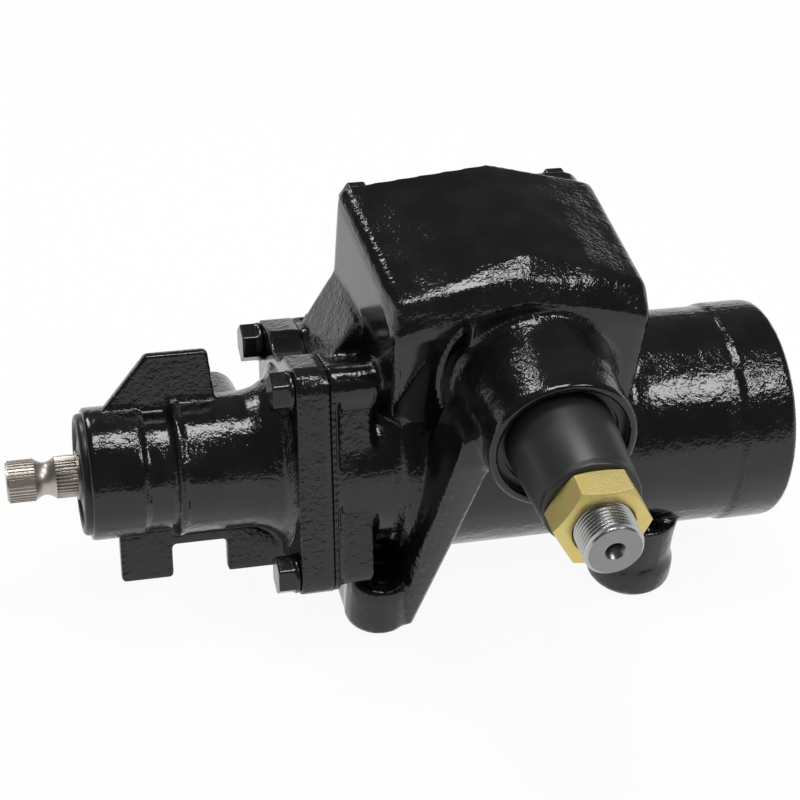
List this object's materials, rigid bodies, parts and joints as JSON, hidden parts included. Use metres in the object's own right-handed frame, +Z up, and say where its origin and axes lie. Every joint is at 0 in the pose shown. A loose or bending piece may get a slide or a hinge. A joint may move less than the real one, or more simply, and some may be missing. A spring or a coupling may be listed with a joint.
{
  "type": "steering gearbox",
  "caption": "Power steering gearbox of the recirculating-ball kind: a splined input turns a worm whose ball nut drives a toothed sector shaft, in a black cast housing with frame lugs.",
  "frame": {"origin": "centre of the front left frame lug's threaded hole, on the mounting face", "axes": "+X along the worm axis from the input towards the rack cylinder, -Y along the sector shaft to its threaded end, +Z up from the mounting face"},
  "size_m": [0.357, 0.2332, 0.1879],
  "materials": {
    "casting": "gloss black paint over a rough sand-cast skin",
    "painted_bolt": "gloss black paint",
    "seal_rubber": "satin black rubber",
    "bushing_bronze": "machined",
    "plain_steel": "machined",
    "spring_steel": "dark oiled",
    "bearing_steel": "ground",
    "seat_brass": "machined",
    "spline_steel": "rolled, faintly brown",
    "gear_steel": "ground",
    "ring_plastic": "satin",
    "turned_steel": "bright turned",
    "guard_plastic": "satin black moulding",
    "yellow_zinc": "yellow zinc plate"
  },
  "bodies": {
    "housing": {"main_housing": "casting", "valve_housing": "casting", "valve_housing_bolts": "painted_bolt", "valve_housing_seal": "seal_rubber", "side_cover": "casting", "side_cover_bolts": "painted_bolt", "side_cover_seal": "seal_rubber", "cover_bushing": "bushing_bronze", "adjuster_screw": "plain_steel", "adjuster_locknut": "plain_steel", "end_plug": "plain_steel", "end_plug_seal": "seal_rubber", "end_plug_ring": "spring_steel", "dust_seal": "seal_rubber", "input_seal": "seal_rubber", "input_seal_ring": "spring_steel", "input_bearing": "bearing_steel", "port_seats": "seat_brass", "worm_bearings": "bearing_steel", "bearing_retainer": "plain_steel", "sector_bearing": "bearing_steel", "sector_seal": "seal_rubber", "sector_washer": "plain_steel", "sector_seal_ring": "spring_steel"},
    "sector": {"sector_shaft": "turned_steel", "spline_guard": "guard_plastic", "pitman_nut": "yellow_zinc"},
    "rack": {"rack_piston": "gear_steel", "piston_ring": "ring_plastic", "rack_plug": "plain_steel", "balls": "bearing_steel", "ball_guide": "plain_steel", "ball_guide_clamp": "plain_steel", "ball_guide_screws": "plain_steel"},
    "worm": {"worm": "gear_steel", "valve_sleeve": "gear_steel", "valve_sleeve_rings": "ring_plastic", "sleeve_pin": "bearing_steel", "torsion_bar": "spring_steel"},
    "stub": {"input_shaft": "spline_steel", "torsion_pin": "bearing_steel"}
  },
  "joints": [
    {"name": "sector_turn", "type": "hinge", "parent": "housing", "child": "sector", "pos_m": [0.0624, 0.043, 0.1275], "axis": [0, -1, 0], "range_deg": [-43, 43]},
    {"name": "rack_slide", "type": "slide", "parent": "housing", "child": "rack", "axis": [1, 0, 0], "range_m": [-0.02705, 0.02705]},
    {"name": "worm_turn", "type": "hinge", "parent": "housing", "child": "worm", "pos_m": [0.0624, 0.043, 0.066], "axis": [1, 0, 0], "range_deg": [-603, 603]},
    {"name": "stub_twist", "type": "hinge", "parent": "worm", "child": "stub", "pos_m": [0.0624, 0.043, 0.066], "axis": [1, 0, 0], "range_deg": [-6, 6], "stiffness_Nm_per_rad": 60}
  ],
  "couplings": [
    {"joint": "rack_slide", "follows": "sector_turn", "m_per_rad": 0.036},
    {"joint": "worm_turn", "follows": "sector_turn", "ratio": -14}
  ]
}
